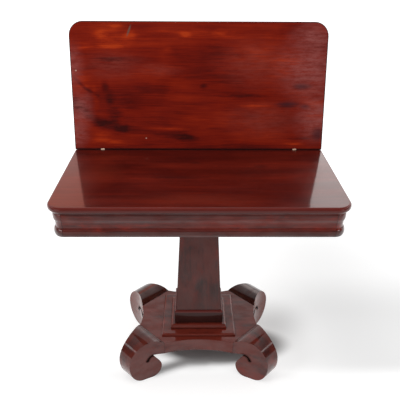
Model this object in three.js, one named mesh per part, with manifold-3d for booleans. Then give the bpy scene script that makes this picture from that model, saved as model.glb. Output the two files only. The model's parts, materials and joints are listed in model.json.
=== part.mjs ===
// A swivel-top card table: two hinged leaves on a moulded frame, a tapered pillar,
// a stepped plinth and an incurved platform on four scroll feet.
// Millimetres. +Z is up, +X is to the right and +Y is to the back of the table.
// The origin is on the floor, under the middle of the table's overall width and depth.

import * as THREE from "three";
import { mergeVertices } from "three/addons/utils/BufferGeometryUtils.js";
import Module from "manifold-3d";

const wasm = await Module();
wasm.setup();

// Fits that every piece shares
const fitGap = 0.3; // round metalwork, pins and dowels, and along faces that lie at an angle
const glueLine = 0.1; // between square wooden faces that are glued
const runningGap = 0.5; // between the top and the frame that it turns on
const overrun = 2; // how far a cutter passes the face that it opens

// Leaves
const topHeight = 745; // floor to the playing face
const leafWidth = 914;
const leafDepth = 450; // from the hinge axis to the front edge
const leafThickness = 20;
const leafCornerRadius = 50;
const leafNosing = 8; // radius of the rounded arrises
const leafLeanDegrees = 13.45; // how far the raised leaf leans behind the vertical
const foldGap = 0.2; // between the back edges of the two leaves
const axisRise = 0.1; // the hinge axis above the playing face

// A countersunk screw's slot, point and seat, as shares of its own sizes
const screwSlotWidthShare = 1 / 2; // of the shank's radius
const screwSlotDepthShare = 1 / 3; // of the head's depth
const screwPointShare = 2; // of the shank's radius
const screwSinkShare = 1 / 4; // of the head's depth, how far the head lies below the metal's face

// Hinges let into the back edges
const hingeInset = 103; // from a leaf's end to the middle of the hinge
const hingePlateLength = 60;
const hingePlateHeight = 13;
const hingePlateThickness = 2.5;
const knuckleRadius = 4;
const knucklePartLength = 4; // each of the three parts of a knuckle
const hingePinRadius = 1.5;
const hingeScrewSpacing = 40;
const hingeScrewLength = 16;
const hingeScrewRadius = 1.6;
const hingeScrewHeadRadius = 3.4;
const hingeScrewHeadDepth = 1.9;

// Swivel
const swivelPlateLength = 110;
const swivelPlateWidth = 60;
const swivelPlateThickness = 5;
const swivelStudRadius = 8;
const swivelScrewInset = 12;
const swivelScrewLength = 14;
const swivelScrewRadius = 2.2;
const swivelScrewHeadRadius = 4.6;
const swivelScrewHeadDepth = 2.6;
const swivelWasherRadius = 19;
const swivelWasherThickness = 3;
const swivelNutSide = 26;
const swivelNutThickness = 12;
const swivelStudTail = 5; // stud below the nut
const stopBlockHeight = 26;
const stopBlockLength = 34;

// Frame
const frameHeight = 90;
const frameFrontInset = 14; // from the leaf's edge to the face of the frame
const frameSideInset = 10;
const frameBackInset = 18;
const railThickness = 26;
const backRailThickness = 20;
const frameCornerRadius = 33;
const torusHeight = 30.5;
const torusDepth = 7;
const hollowHeight = 25; // the hollow is deepest where it meets the torus
const beadHeight = 23;
const beadDepth = 2;
const beadSetback = 3.5; // of the plain faces above and below the bead
const beadFillet = 1.5; // plain edge between the hollow and the bead
const wellBottomThickness = 11;
const pivotRailWidth = 80;
const pivotRailThickness = 26;
const glueBlockSide = 28;

// Bearer between the frame and the pillar
const bearerLength = 420;
const bearerWidth = 200;
const bearerThickness = 24;
const bearerChamfer = 12;
const bearerScrewSpacing = 48;
const bearerScrewLength = 56;
const bearerScrewRadius = 2.6;
const bearerScrewHeadRadius = 5.2;
const bearerScrewHeadDepth = 3;

// Pillar, a tapered box of four mitred boards
const pillarFootHeight = 230; // floor to the foot of the pillar
const pillarFootWidth = 164;
const pillarFootDepth = 128;
const pillarTaper = 38; // what both widths lose from the foot to the head
const pillarBoard = 16;
const pillarHeadBlockHeight = 90;
const pillarCoreHeight = 110;
const tenonWidth = 60;
const tenonDepth = 48;

// Plinth
const plinthHeight = 55;
const plinthMargin = 6; // how far it stands out from the pillar's foot
const plinthRound = 6;
const upperTierHeight = 15.5;
const upperTierMargin = 15; // beyond the plinth
const upperTierRounding = 9; // width of the rounded edge
const lowerTierMargin = 31; // beyond the upper tier
const lowerTierRounding = 8;
const tierEdge = 2; // upright edge at the foot of each tier

// Platform
const platformThickness = 50;
const platformTop = 151; // floor to the top of the platform
const waistWidth = 427; // across the middle, from side to side
const waistDepth = 266; // across the middle, from front to back
const longSideRadius = 439; // the hollow curve of the front and back
const shortSideRadius = 228; // the hollow curve of the two sides
const footJointDistance = 194; // from the middle, along the diagonal, to the joint where a foot begins

// Scroll foot, drawn upright along its own diagonal from the joint line
const footCrownRise = 19; // crown above the platform
const footCrownReach = 43; // joint line to the crown
const footReach = 127.5; // joint line to the outermost point
const footBellyHeight = 83.5; // floor to the outermost point
const footPadOuter = 77; // joint line to the outer edge of the floor pad
const footPadInner = 47;
const scrollBackReach = 11; // joint line to the innermost point of the scroll
const scrollBackHeight = 50;
const scrollShoulderReach = 20; // where the scroll's round back meets its straight slope
const scrollShoulderHeight = 77;
const mouthReach = 36; // the mouth of the kerf, at the top of that slope
const mouthHeight = 105;
const kerfWidth = 4;
const kerfBendReach = 52; // where the kerf turns down
const eyeReach = 59; // the small drilled eye where the kerf ends
const eyeHeight = 85;
const eyeRadius = 3.5;
const footBlankWidth = 200; // the block that a foot is sawn from
const dowelRadius = 5;
const dowelLength = 50;
const dowelSpacing = 60;

// How finely curves are cut
const cornerSteps = 8;
const nosingSteps = 4;
const mouldingSteps = 6;
const footSteps = 9;
const longSawSides = 180;
const shortSawSides = 92;
const screwSides = 12;
const roundSides = 24;

// Places that follow from the sizes above
const frameTop = topHeight - leafThickness - runningGap;
const frameBottom = frameTop - frameHeight;
const lean = THREE.MathUtils.degToRad(leafLeanDegrees);
const leafBackReach =
  (leafDepth - leafNosing) * Math.sin(lean) +
  (leafThickness - leafNosing + axisRise) * Math.cos(lean) +
  leafNosing;
const foldY = (leafDepth - leafBackReach) / 2;
const centreY = foldY - leafDepth / 2; // the middle of the folded top, frame and pillar
const axisHeight = topHeight + axisRise;
const quarterDepth = leafDepth / 4;
const pivotX = quarterDepth; // a quarter turn about here centres the unfolded top on the frame
const pivotY = centreY + quarterDepth;
const frameHalfWidth = leafWidth / 2 - frameSideInset;
const frameFrontY = foldY - leafDepth + frameFrontInset;
const frameBackY = foldY - frameBackInset;
const frameInnerHalf = frameHalfWidth - railThickness;
const frameInnerFrontY = frameFrontY + railThickness;
const frameInnerBackY = frameBackY - backRailThickness;
const pillarHeadHeight = frameBottom - bearerThickness;
const plinthBase = pillarFootHeight - plinthHeight;
const upperTierBase = plinthBase - upperTierHeight;
const platformBase = platformTop - platformThickness;

// Finishes
const finish = (color, roughness, metalness) =>
  new THREE.MeshStandardMaterial({ color, roughness, metalness });
const topMahogany = finish(0x6a1e14, 0.22, 0);
const raisedMahogany = finish(0x7c2214, 0.25, 0);
const frameMahogany = finish(0x55190f, 0.24, 0);
const baseMahogany = finish(0x53271f, 0.28, 0);
const plainWood = finish(0x9a7449, 0.75, 0);
const brass = finish(0xb08d4a, 0.38, 1);
const iron = finish(0x3b3836, 0.6, 1);

const table = new THREE.Group();

// Solid tools

function toSolid(geometry) {
  const bare = geometry.clone();
  bare.deleteAttribute("normal");
  bare.deleteAttribute("uv");
  const welded = mergeVertices(bare);
  return new wasm.Manifold(
    new wasm.Mesh({
      numProp: 3,
      vertProperties: new Float32Array(welded.attributes.position.array),
      triVerts: new Uint32Array(welded.index.array),
    }),
  );
}

function toGeometry(solid) {
  const { vertProperties, triVerts } = solid.getMesh();
  const geometry = new THREE.BufferGeometry();
  geometry.setAttribute("position", new THREE.BufferAttribute(vertProperties, 3));
  geometry.setIndex(new THREE.BufferAttribute(triVerts, 1));
  geometry.computeVertexNormals();
  return geometry;
}

function cut(geometry, ...cutters) {
  return toGeometry(cutters.reduce((solid, c) => solid.subtract(toSolid(c)), toSolid(geometry)));
}

function join(geometry, ...others) {
  return toGeometry(others.reduce((solid, o) => solid.add(toSolid(o)), toSolid(geometry)));
}

function common(geometry, other) {
  return toGeometry(toSolid(geometry).intersect(toSolid(other)));
}

function block(x0, x1, y0, y1, z0, z1) {
  const geometry = new THREE.BoxGeometry(x1 - x0, y1 - y0, z1 - z0);
  return geometry.translate((x0 + x1) / 2, (y0 + y1) / 2, (z0 + z1) / 2);
}

// A rod of a given radius that starts at the origin and runs up +Z
function rod(radius, length, sides) {
  const geometry = new THREE.CylinderGeometry(radius, radius, length, sides);
  return geometry.rotateX(Math.PI / 2).translate(0, 0, length / 2);
}

// Points on part of an ellipse, both ends included
function arc(x, y, radiusX, radiusY, fromDegrees, toDegrees, steps) {
  return Array.from({ length: steps + 1 }, (_, i) => {
    const angle = THREE.MathUtils.degToRad(fromDegrees + ((toDegrees - fromDegrees) * i) / steps);
    return new THREE.Vector2(x + radiusX * Math.cos(angle), y + radiusY * Math.sin(angle));
  });
}

// A closed skin through rings of equal count, each anticlockwise seen from above, lowest first
function loft(rings) {
  const count = rings[0].length;
  const index = [];
  for (let r = 0; r < rings.length - 1; r++) {
    for (let i = 0; i < count; i++) {
      const a = r * count + i;
      const b = r * count + ((i + 1) % count);
      index.push(a, b, b + count, a, b + count, a + count);
    }
  }
  const lid = (rings.length - 1) * count;
  const outline = rings[0].map((p) => new THREE.Vector2(p.x, p.y));
  for (const [a, b, c] of THREE.ShapeUtils.triangulateShape(outline, [])) {
    index.push(a, c, b);
    index.push(lid + a, lid + b, lid + c);
  }
  const geometry = new THREE.BufferGeometry();
  geometry.setFromPoints(rings.flat());
  geometry.setIndex(index);
  geometry.computeVertexNormals();
  return geometry;
}

function rectangleRing(halfX, halfY, z) {
  const corners = [[-1, -1], [1, -1], [1, 1], [-1, 1]];
  return corners.map(([x, y]) => new THREE.Vector3(x * halfX, y * halfY, z));
}

// A rectangular board whose edge follows a profile of (outset, height) points
function mouldedBoard(halfX, halfY, profile) {
  return loft(profile.map((p) => rectangleRing(halfX + p.x, halfY + p.x, p.y)));
}

// A countersunk wood screw whose head lies at the origin and whose shank runs down -Z
function screw(length, radius, headRadius, headDepth) {
  const profile = [
    new THREE.Vector2(0, -length),
    new THREE.Vector2(radius, -length + radius * screwPointShare),
    new THREE.Vector2(radius, -headDepth),
    new THREE.Vector2(headRadius, 0),
    new THREE.Vector2(0, 0),
  ];
  const body = new THREE.LatheGeometry(profile, screwSides).rotateX(Math.PI / 2);
  const slotHalf = (radius * screwSlotWidthShare) / 2;
  const slotDepth = headDepth * screwSlotDepthShare;
  return cut(body, block(-headRadius, headRadius, -slotHalf, slotHalf, -slotDepth, slotDepth));
}

// The hole that such a screw sits in, fitGap clear of it
function screwHole(length, radius, headRadius, headDepth) {
  const profile = [
    new THREE.Vector2(0, -length - fitGap),
    new THREE.Vector2(radius + fitGap, -length),
    new THREE.Vector2(radius + fitGap, -headDepth - fitGap),
    new THREE.Vector2(headRadius + fitGap, -fitGap / 2),
    new THREE.Vector2(headRadius + fitGap, overrun),
    new THREE.Vector2(0, overrun),
  ];
  return new THREE.LatheGeometry(profile, screwSides).rotateX(Math.PI / 2);
}

function place(name, geometry, material, parent = table) {
  const mesh = new THREE.Mesh(geometry, material);
  mesh.name = name;
  parent.add(mesh);
  return mesh;
}

// Leaves and hinges. A leaf is drawn lying open towards -Y, with the hinge axis at the origin.

const leafFaceZ = -axisRise;
const leafUnderZ = leafFaceZ - leafThickness;
const leafEdgeY = -foldGap / 2;
const plateFaceY = leafEdgeY;
const plateTopZ = -knuckleRadius - fitGap * 2;
const plateMiddleZ = plateTopZ - hingePlateHeight / 2;
const screwDepthY = plateFaceY - hingeScrewHeadDepth * screwSinkShare;

// Outline of a leaf inset by the rounding of its edge, square at the hinge side
function leafRing(inset, z) {
  const half = leafWidth / 2 - inset;
  const radius = leafCornerRadius - inset;
  const cornerX = leafWidth / 2 - leafCornerRadius;
  const cornerY = -leafDepth + leafCornerRadius;
  const outline = [
    new THREE.Vector2(-half, leafEdgeY),
    ...arc(-cornerX, cornerY, radius, radius, 180, 270, cornerSteps),
    ...arc(cornerX, cornerY, radius, radius, 270, 360, cornerSteps),
    new THREE.Vector2(half, leafEdgeY),
  ];
  return outline.map((p) => new THREE.Vector3(p.x, p.y, z));
}

// Turns a cutter or screw that runs down -Z so that it runs into the back edge at a place along it
function intoEdge(geometry, x) {
  return geometry.rotateX(-Math.PI / 2).translate(x, screwDepthY, plateMiddleZ);
}

const hingePlaces = { left: hingeInset - leafWidth / 2, right: leafWidth / 2 - hingeInset };
const screwOffsets = [-hingeScrewSpacing / 2, hingeScrewSpacing / 2];
const hingeScrewSizes = [
  hingeScrewLength, hingeScrewRadius, hingeScrewHeadRadius, hingeScrewHeadDepth,
];
const knuckleHalf = (knucklePartLength * 3) / 2 + fitGap; // three parts and the two gaps between them

// A cylinder along X about the hinge axis
function axisRod(radius, x0, x1, sides) {
  return rod(radius, x1 - x0, sides).rotateY(Math.PI / 2).translate(x0, 0, 0);
}

function leaf(otherCutters) {
  const low = arc(0, leafNosing, leafNosing, leafNosing, 270, 360, nosingSteps);
  const high = arc(0, leafThickness - leafNosing, leafNosing, leafNosing, 0, 90, nosingSteps);
  const edge = [...low, ...high].map((p) => leafRing(leafNosing - p.x, leafUnderZ + p.y));
  const recess = hingePlateThickness + fitGap;
  const cutters = Object.values(hingePlaces).flatMap((x) => [
    block(
      x - hingePlateLength / 2 - fitGap, x + hingePlateLength / 2 + fitGap,
      plateFaceY - recess, plateFaceY + overrun,
      plateTopZ - hingePlateHeight - fitGap, plateTopZ + fitGap,
    ),
    block(
      x - knuckleHalf - fitGap, x + knuckleHalf + fitGap,
      plateFaceY - recess, plateFaceY + overrun, plateTopZ, overrun,
    ),
    axisRod(knuckleRadius + fitGap, x - knuckleHalf - fitGap, x + knuckleHalf + fitGap, roundSides),
    ...screwOffsets.map((offset) => intoEdge(screwHole(...hingeScrewSizes), x + offset)),
  ]);
  return cut(loft(edge), ...cutters, ...otherCutters);
}

// One plate of a hinge; the lower plate has the two outer parts of the knuckle, the upper the middle
function hingePlate(x, isUpper) {
  const inner = knucklePartLength / 2;
  const outer = [inner + fitGap, inner + fitGap + knucklePartLength];
  const parts = isUpper ? [[-inner, inner]] : [outer, [-outer[1], -outer[0]]];
  const plate = block(
    x - hingePlateLength / 2, x + hingePlateLength / 2,
    plateFaceY - hingePlateThickness, plateFaceY,
    plateTopZ - hingePlateHeight, plateTopZ,
  );
  const ears = parts.map(([x0, x1]) =>
    block(x + x0, x + x1, plateFaceY - hingePlateThickness, plateFaceY, plateTopZ - fitGap, 0),
  );
  const knuckles = parts.map(([x0, x1]) => axisRod(knuckleRadius, x + x0, x + x1, roundSides));
  const reach = knuckleHalf + overrun;
  return cut(
    join(plate, ...ears, ...knuckles),
    axisRod(hingePinRadius + fitGap, x - reach, x + reach, screwSides),
    ...screwOffsets.map((offset) => intoEdge(screwHole(...hingeScrewSizes), x + offset)),
  );
}

function addLeaf(level, parent, material, otherCutters) {
  place(`${level}_leaf`, leaf(otherCutters), material, parent);
  for (const [side, x] of Object.entries(hingePlaces)) {
    place(`${side}_hinge_${level}_plate`, hingePlate(x, level === "upper"), brass, parent);
    screwOffsets.forEach((offset, i) => {
      const geometry = intoEdge(screw(...hingeScrewSizes), x + offset);
      place(`${side}_hinge_${level}_screw_${i + 1}`, geometry, brass, parent);
    });
  }
}

const foldAxis = new THREE.Group();
foldAxis.position.set(0, foldY, axisHeight);
table.add(foldAxis);

const raised = new THREE.Group();
raised.rotation.x = Math.PI / 2 - lean;
foldAxis.add(raised);
const unfolded = new THREE.Group();
unfolded.rotation.z = Math.PI;
raised.add(unfolded);

// Places of the swivel plate under the lower leaf, and of its screws
const swivelScrewSizes = [
  swivelScrewLength, swivelScrewRadius, swivelScrewHeadRadius, swivelScrewHeadDepth,
];
const swivelPlateBase = topHeight - leafThickness;
const pivotRailBase = frameTop - pivotRailThickness;
const swivelScrewPlaces = [];
for (const x of [-1, 1]) {
  for (const y of [-1, 1]) {
    swivelScrewPlaces.push([
      pivotX + x * (swivelPlateLength / 2 - swivelScrewInset),
      pivotY + y * (swivelPlateWidth / 2 - swivelScrewInset),
    ]);
  }
}

// Turns a screw or its hole over, so that it runs up from the plate's underside
function upFromPlate(geometry, [x, y]) {
  const headSink = swivelScrewHeadDepth * screwSinkShare;
  return geometry.rotateX(Math.PI).translate(x, y, swivelPlateBase + headSink);
}

function addTop() {
  const recess = block(
    pivotX - swivelPlateLength / 2 - fitGap, pivotX + swivelPlateLength / 2 + fitGap,
    pivotY - swivelPlateWidth / 2 - fitGap, pivotY + swivelPlateWidth / 2 + fitGap,
    swivelPlateBase - overrun, swivelPlateBase + swivelPlateThickness + fitGap,
  );
  const holes = swivelScrewPlaces.map((at) => upFromPlate(screwHole(...swivelScrewSizes), at));
  const underLeaf = [recess, ...holes].map((geometry) => geometry.translate(0, -foldY, -axisHeight));
  addLeaf("lower", foldAxis, topMahogany, underLeaf);
  addLeaf("upper", unfolded, raisedMahogany, []);
  for (const [side, x] of Object.entries(hingePlaces)) {
    const pin = axisRod(hingePinRadius, x - knuckleHalf, x + knuckleHalf, screwSides);
    place(`${side}_hinge_pin`, pin, brass, foldAxis);
  }
}
addTop();

// Swivel: a plate and stud under the lower leaf, held down by a washer and nut under the pivot rail

function addSwivel() {
  const washerTop = pivotRailBase - fitGap;
  const nutTop = washerTop - swivelWasherThickness - glueLine;
  const studEnd = nutTop - swivelNutThickness - swivelStudTail;
  const plate = block(
    pivotX - swivelPlateLength / 2, pivotX + swivelPlateLength / 2,
    pivotY - swivelPlateWidth / 2, pivotY + swivelPlateWidth / 2,
    swivelPlateBase, swivelPlateBase + swivelPlateThickness,
  );
  const studLength = swivelPlateBase + swivelPlateThickness / 2 - studEnd;
  const stud = rod(swivelStudRadius, studLength, roundSides).translate(pivotX, pivotY, studEnd);
  const holes = swivelScrewPlaces.map((at) => upFromPlate(screwHole(...swivelScrewSizes), at));
  place("swivel_plate", cut(join(plate, stud), ...holes), iron);
  swivelScrewPlaces.forEach((at, i) => {
    place(`swivel_plate_screw_${i + 1}`, upFromPlate(screw(...swivelScrewSizes), at), iron);
  });

  const hole = (z0, z1) => {
    const clear = rod(swivelStudRadius + fitGap, z1 - z0 + overrun * 2, roundSides);
    return clear.translate(pivotX, pivotY, z0 - overrun);
  };
  const washerBase = washerTop - swivelWasherThickness;
  const washer = rod(swivelWasherRadius, swivelWasherThickness, roundSides)
    .translate(pivotX, pivotY, washerBase);
  place("swivel_washer", cut(washer, hole(washerBase, washerTop)), iron);
  const nutHalf = swivelNutSide / 2;
  const nutBase = nutTop - swivelNutThickness;
  const nut = block(
    pivotX - nutHalf, pivotX + nutHalf, pivotY - nutHalf, pivotY + nutHalf, nutBase, nutTop,
  );
  place("swivel_nut", cut(nut, hole(nutBase, nutTop)), iron);

  const rail = block(
    pivotX - pivotRailWidth / 2, pivotX + pivotRailWidth / 2,
    frameInnerFrontY + glueLine, frameInnerBackY - glueLine, pivotRailBase, frameTop,
  );
  place("pivot_rail", cut(rail, hole(pivotRailBase, frameTop)), plainWood);

  // A quarter turn takes the block from the back rail to the left side of the pivot rail
  const stopBack = frameInnerBackY - fitGap;
  const stopFront = pivotY + pivotRailWidth / 2 + fitGap;
  const stopRight = pivotX - pivotRailWidth / 2 - fitGap * 2;
  place("stop_block", block(
    stopRight - stopBlockLength, stopRight, stopFront, stopBack,
    swivelPlateBase - glueLine - stopBlockHeight, swivelPlateBase - glueLine,
  ), plainWood);
}
addSwivel();

// Frame. Its section is drawn with x outwards from the frame's face and y up from its lower edge.

function frameSection() {
  const torus = arc(
    -torusDepth, torusHeight / 2, torusDepth, torusHeight / 2, -90, 90, mouldingSteps,
  );
  const hollow = arc(
    -beadSetback, torusHeight, torusDepth - beadSetback, hollowHeight, 180, 90, mouldingSteps,
  );
  const beadMiddle = torusHeight + hollowHeight + beadFillet + beadHeight / 2;
  const bead = arc(-beadSetback, beadMiddle, beadDepth, beadHeight / 2, -90, 90, mouldingSteps);
  return [...torus, ...hollow.slice(1), ...bead, new THREE.Vector2(-beadSetback, frameHeight)];
}

// A straight moulded rail whose face looks along outward, centred on the origin
function mouldedRail(length, outward) {
  const section = [
    ...frameSection(),
    new THREE.Vector2(-railThickness, frameHeight),
    new THREE.Vector2(-railThickness, 0),
  ];
  const rail = new THREE.ExtrudeGeometry(new THREE.Shape(section), {
    depth: length, bevelEnabled: false, curveSegments: 1,
  });
  const up = new THREE.Vector3(0, 0, 1);
  const along = new THREE.Vector3().crossVectors(outward, up);
  rail.translate(0, 0, -length / 2);
  return rail.applyMatrix4(new THREE.Matrix4().makeBasis(outward, up, along));
}

// The quarter round at a front corner, turned about the corner's centre
function cornerBlock(side) {
  const section = frameSection().map((p) => new THREE.Vector2(frameCornerRadius + p.x, p.y));
  const profile = [new THREE.Vector2(0, 0), ...section, new THREE.Vector2(0, frameHeight)];
  const turned = new THREE.LatheGeometry(profile, cornerSteps * 4).rotateX(Math.PI / 2);
  const reach = frameCornerRadius + overrun;
  const near = glueLine / 2;
  const quarter = side < 0
    ? block(-reach, -near, -reach, -near, -overrun, frameHeight + overrun)
    : block(near, reach, -reach, -near, -overrun, frameHeight + overrun);
  const x = side * (frameHalfWidth - frameCornerRadius);
  return common(turned, quarter).translate(x, frameFrontY + frameCornerRadius, frameBottom);
}

function addFrame() {
  const cornerX = frameHalfWidth - frameCornerRadius;
  const cornerY = frameFrontY + frameCornerRadius;
  const front = mouldedRail(cornerX * 2 - glueLine, new THREE.Vector3(0, -1, 0));
  place("frame_front_rail", front.translate(0, frameFrontY, frameBottom), frameMahogany);
  const sideLength = frameBackY - cornerY - glueLine / 2;
  for (const [side, name] of [[-1, "left"], [1, "right"]]) {
    const rail = mouldedRail(sideLength, new THREE.Vector3(side, 0, 0));
    rail.translate(side * frameHalfWidth, frameBackY - sideLength / 2, frameBottom);
    place(`frame_${name}_rail`, rail, frameMahogany);
    place(`frame_${name}_corner`, cornerBlock(side), frameMahogany);
    const inner = side * (frameInnerHalf - glueLine);
    const ends = [inner, inner - side * glueBlockSide].sort((a, b) => a - b);
    place(`${name}_glue_block`, block(
      ...ends, frameInnerBackY - glueLine - glueBlockSide, frameInnerBackY - glueLine,
      frameBottom + wellBottomThickness + glueLine, frameTop - glueBlockSide / 2,
    ), plainWood);
  }
  const innerHalf = frameInnerHalf - glueLine;
  place("frame_back_rail", block(
    -innerHalf, innerHalf, frameInnerBackY, frameBackY, frameBottom, frameTop,
  ), plainWood);

  // The well's bottom board is notched round the two corner blocks
  const board = block(
    -innerHalf, innerHalf, frameInnerFrontY + glueLine, frameInnerBackY - glueLine,
    frameBottom, frameBottom + wellBottomThickness,
  );
  const notches = [-1, 1].map((side) => {
    const ends = [side * (cornerX - glueLine), side * frameHalfWidth].sort((a, b) => a - b);
    return block(
      ...ends, frameFrontY, cornerY + glueLine,
      frameBottom - overrun, frameBottom + wellBottomThickness + overrun,
    );
  });
  place("well_bottom", cut(board, ...notches), plainWood);
}
addFrame();

// Bearer and pillar

function pillarHalf(z, inset) {
  const share = (z - pillarFootHeight) / (pillarHeadHeight - pillarFootHeight);
  const lost = (pillarTaper * share) / 2;
  return [pillarFootWidth / 2 - lost - inset, pillarFootDepth / 2 - lost - inset];
}

// A tapered block that follows the pillar's sides at a given inset
function taperedBlock(z0, z1, inset) {
  return loft([z0, z1].map((z) => rectangleRing(...pillarHalf(z, inset), z)));
}

// A mitred board, the right one or the front one; a sign of -1 turns it to the opposite side
function pillarBoardSolid(isSide, sign) {
  const gap = fitGap / 2;
  const ring = (z) => {
    const [outerX, outerY] = pillarHalf(z, 0);
    const [innerX, innerY] = pillarHalf(z, pillarBoard);
    const right = [
      [outerX, gap - outerY], [outerX, outerY - gap], [innerX, innerY - gap], [innerX, gap - innerY],
    ];
    const front = [
      [gap - outerX, -outerY], [outerX - gap, -outerY], [innerX - gap, -innerY], [gap - innerX, -innerY],
    ];
    return (isSide ? right : front).map(([x, y]) => new THREE.Vector3(x, y, z));
  };
  const board = loft([ring(pillarFootHeight + glueLine), ring(pillarHeadHeight - glueLine)]);
  return sign < 0 ? board.rotateZ(Math.PI) : board;
}

const bearerScrewSizes = [
  bearerScrewLength, bearerScrewRadius, bearerScrewHeadRadius, bearerScrewHeadDepth,
];
const bearerScrewPlaces = { left: -bearerScrewSpacing / 2, right: bearerScrewSpacing / 2 };

function atBearerScrew(geometry, x) {
  return geometry.translate(x, centreY, frameBottom - fitGap);
}

function addPillar() {
  const holes = () => Object.values(bearerScrewPlaces).map((x) => {
    return atBearerScrew(screwHole(...bearerScrewSizes), x);
  });
  const bearer = mouldedBoard(bearerLength / 2, bearerWidth / 2, [
    new THREE.Vector2(-bearerChamfer, pillarHeadHeight),
    new THREE.Vector2(0, pillarHeadHeight + bearerChamfer),
    new THREE.Vector2(0, frameBottom - glueLine),
  ]).translate(0, centreY, 0);
  place("bearer", cut(bearer, ...holes()), plainWood);
  for (const [side, x] of Object.entries(bearerScrewPlaces)) {
    place(`bearer_screw_${side}`, atBearerScrew(screw(...bearerScrewSizes), x), iron);
  }
  const headTop = pillarHeadHeight - glueLine;
  const head = taperedBlock(headTop - pillarHeadBlockHeight, headTop, pillarBoard + fitGap);
  place("pillar_head_block", cut(head.translate(0, centreY, 0), ...holes()), plainWood);

  for (const [name, isSide, sign] of [
    ["front", false, 1], ["back", false, -1], ["right", true, 1], ["left", true, -1],
  ]) {
    place(`pillar_${name}_board`, pillarBoardSolid(isSide, sign).translate(0, centreY, 0), baseMahogany);
  }

  // The core block in the foot of the pillar has a tenon that passes down through the platform
  const coreBase = pillarFootHeight + glueLine;
  const [coreHalfX, coreHalfY] = pillarHalf(coreBase + pillarCoreHeight, pillarBoard + fitGap);
  const core = block(-coreHalfX, coreHalfX, -coreHalfY, coreHalfY, coreBase, coreBase + pillarCoreHeight);
  const tenon = block(
    -tenonWidth / 2, tenonWidth / 2, -tenonDepth / 2, tenonDepth / 2,
    platformBase + glueLine, coreBase + glueLine,
  );
  place("pillar_core", join(core, tenon).translate(0, centreY, 0), plainWood);
}
addPillar();

// Plinth and platform, each with a mortise for the tenon

function mortise(z0, z1) {
  const halfX = tenonWidth / 2 + fitGap;
  const halfY = tenonDepth / 2 + fitGap;
  return block(-halfX, halfX, -halfY, halfY, z0 - overrun, z1 + overrun);
}

// An upright edge and a quarter of an ellipse
function tierProfile(base, height, rounding) {
  const rise = height - tierEdge - glueLine;
  return [
    new THREE.Vector2(0, base),
    ...arc(-rounding, base + tierEdge, rounding, rise, 0, 90, mouldingSteps),
  ];
}

function addPlinth() {
  const halfX = pillarFootWidth / 2 + plinthMargin;
  const halfY = pillarFootDepth / 2 + plinthMargin;
  const upperX = halfX + upperTierMargin;
  const upperY = halfY + upperTierMargin;
  const plinth = mouldedBoard(halfX, halfY, [
    new THREE.Vector2(0, plinthBase),
    ...arc(-plinthRound, pillarFootHeight - plinthRound, plinthRound, plinthRound, 0, 90, nosingSteps),
  ]);
  const pieces = [
    ["plinth_block", plinth, plinthBase, pillarFootHeight],
    ["plinth_upper_tier",
      mouldedBoard(upperX, upperY, tierProfile(upperTierBase, upperTierHeight, upperTierRounding)),
      upperTierBase, plinthBase],
    ["plinth_lower_tier",
      mouldedBoard(
        upperX + lowerTierMargin, upperY + lowerTierMargin,
        tierProfile(platformTop + glueLine, upperTierBase - platformTop - glueLine, lowerTierRounding),
      ),
      platformTop, upperTierBase],
  ];
  for (const [name, geometry, z0, z1] of pieces) {
    place(name, cut(geometry, mortise(z0, z1)).translate(0, centreY, 0), baseMahogany);
  }
}
addPlinth();

// Platform and scroll feet. Both are sawn to the same four hollow curves seen from above.

const diagonal = new THREE.Vector3(Math.SQRT1_2, Math.SQRT1_2, 0); // from the joint line out along a foot
const across = new THREE.Vector3(Math.SQRT1_2, -Math.SQRT1_2, 0); // along the joint line
const upwards = new THREE.Vector3(0, 0, 1);
const joint = diagonal.clone().multiplyScalar(footJointDistance);
const crownTop = platformTop + footCrownRise;

// Upright cylinders that the saw follows on a long side (back) and a short side (right)
const longSaw = {
  x: 0, y: waistDepth / 2 + longSideRadius, radius: longSideRadius, sides: longSawSides,
};
const shortSaw = {
  x: waistWidth / 2 + shortSideRadius, y: 0, radius: shortSideRadius, sides: shortSawSides,
};

const sawCutters = () => [longSaw, shortSaw].map(({ x, y, radius, sides }) => {
  return rod(radius, crownTop + overrun * 2, sides).translate(x, y, -overrun);
});

// Where the joint line crosses a saw's curve, measured along it from the joint's middle
function jointEnd({ x, y, radius }, sign) {
  const dx = joint.x - x;
  const dy = joint.y - y;
  const half = dx * across.x + dy * across.y;
  return -half + sign * Math.sqrt(half * half - (dx * dx + dy * dy - radius * radius));
}
const jointMiddle = (jointEnd(longSaw, 1) + jointEnd(shortSaw, -1)) / 2;

// A geometry drawn in the back right quarter, copied to the quarter with the given signs
function inQuarter(geometry, signX, signY) {
  const copy = geometry.clone().scale(signX, signY, 1);
  if (signX * signY < 0) {
    const index = copy.index.array;
    for (let i = 0; i < index.length; i += 3) {
      [index[i], index[i + 2]] = [index[i + 2], index[i]];
    }
  }
  copy.computeVertexNormals();
  return copy;
}

// A rod along the foot's diagonal, over part of the dowel's length, through the joint line
function dowelRod(radius, from, to, offset) {
  const upright = rod(radius, to - from, screwSides).translate(0, 0, from);
  const height = platformTop - platformThickness / 2;
  const basis = new THREE.Matrix4().makeBasis(upwards, across, diagonal);
  const start = joint.clone().addScaledVector(across, offset).setZ(height);
  return upright.applyMatrix4(basis).translate(start.x, start.y, start.z);
}
const dowelOffsets = [jointMiddle - dowelSpacing / 2, jointMiddle + dowelSpacing / 2];
const dowelHole = (offset) => {
  const half = dowelLength / 2 + fitGap;
  return dowelRod(dowelRadius + fitGap, -half, half, offset);
};

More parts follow.
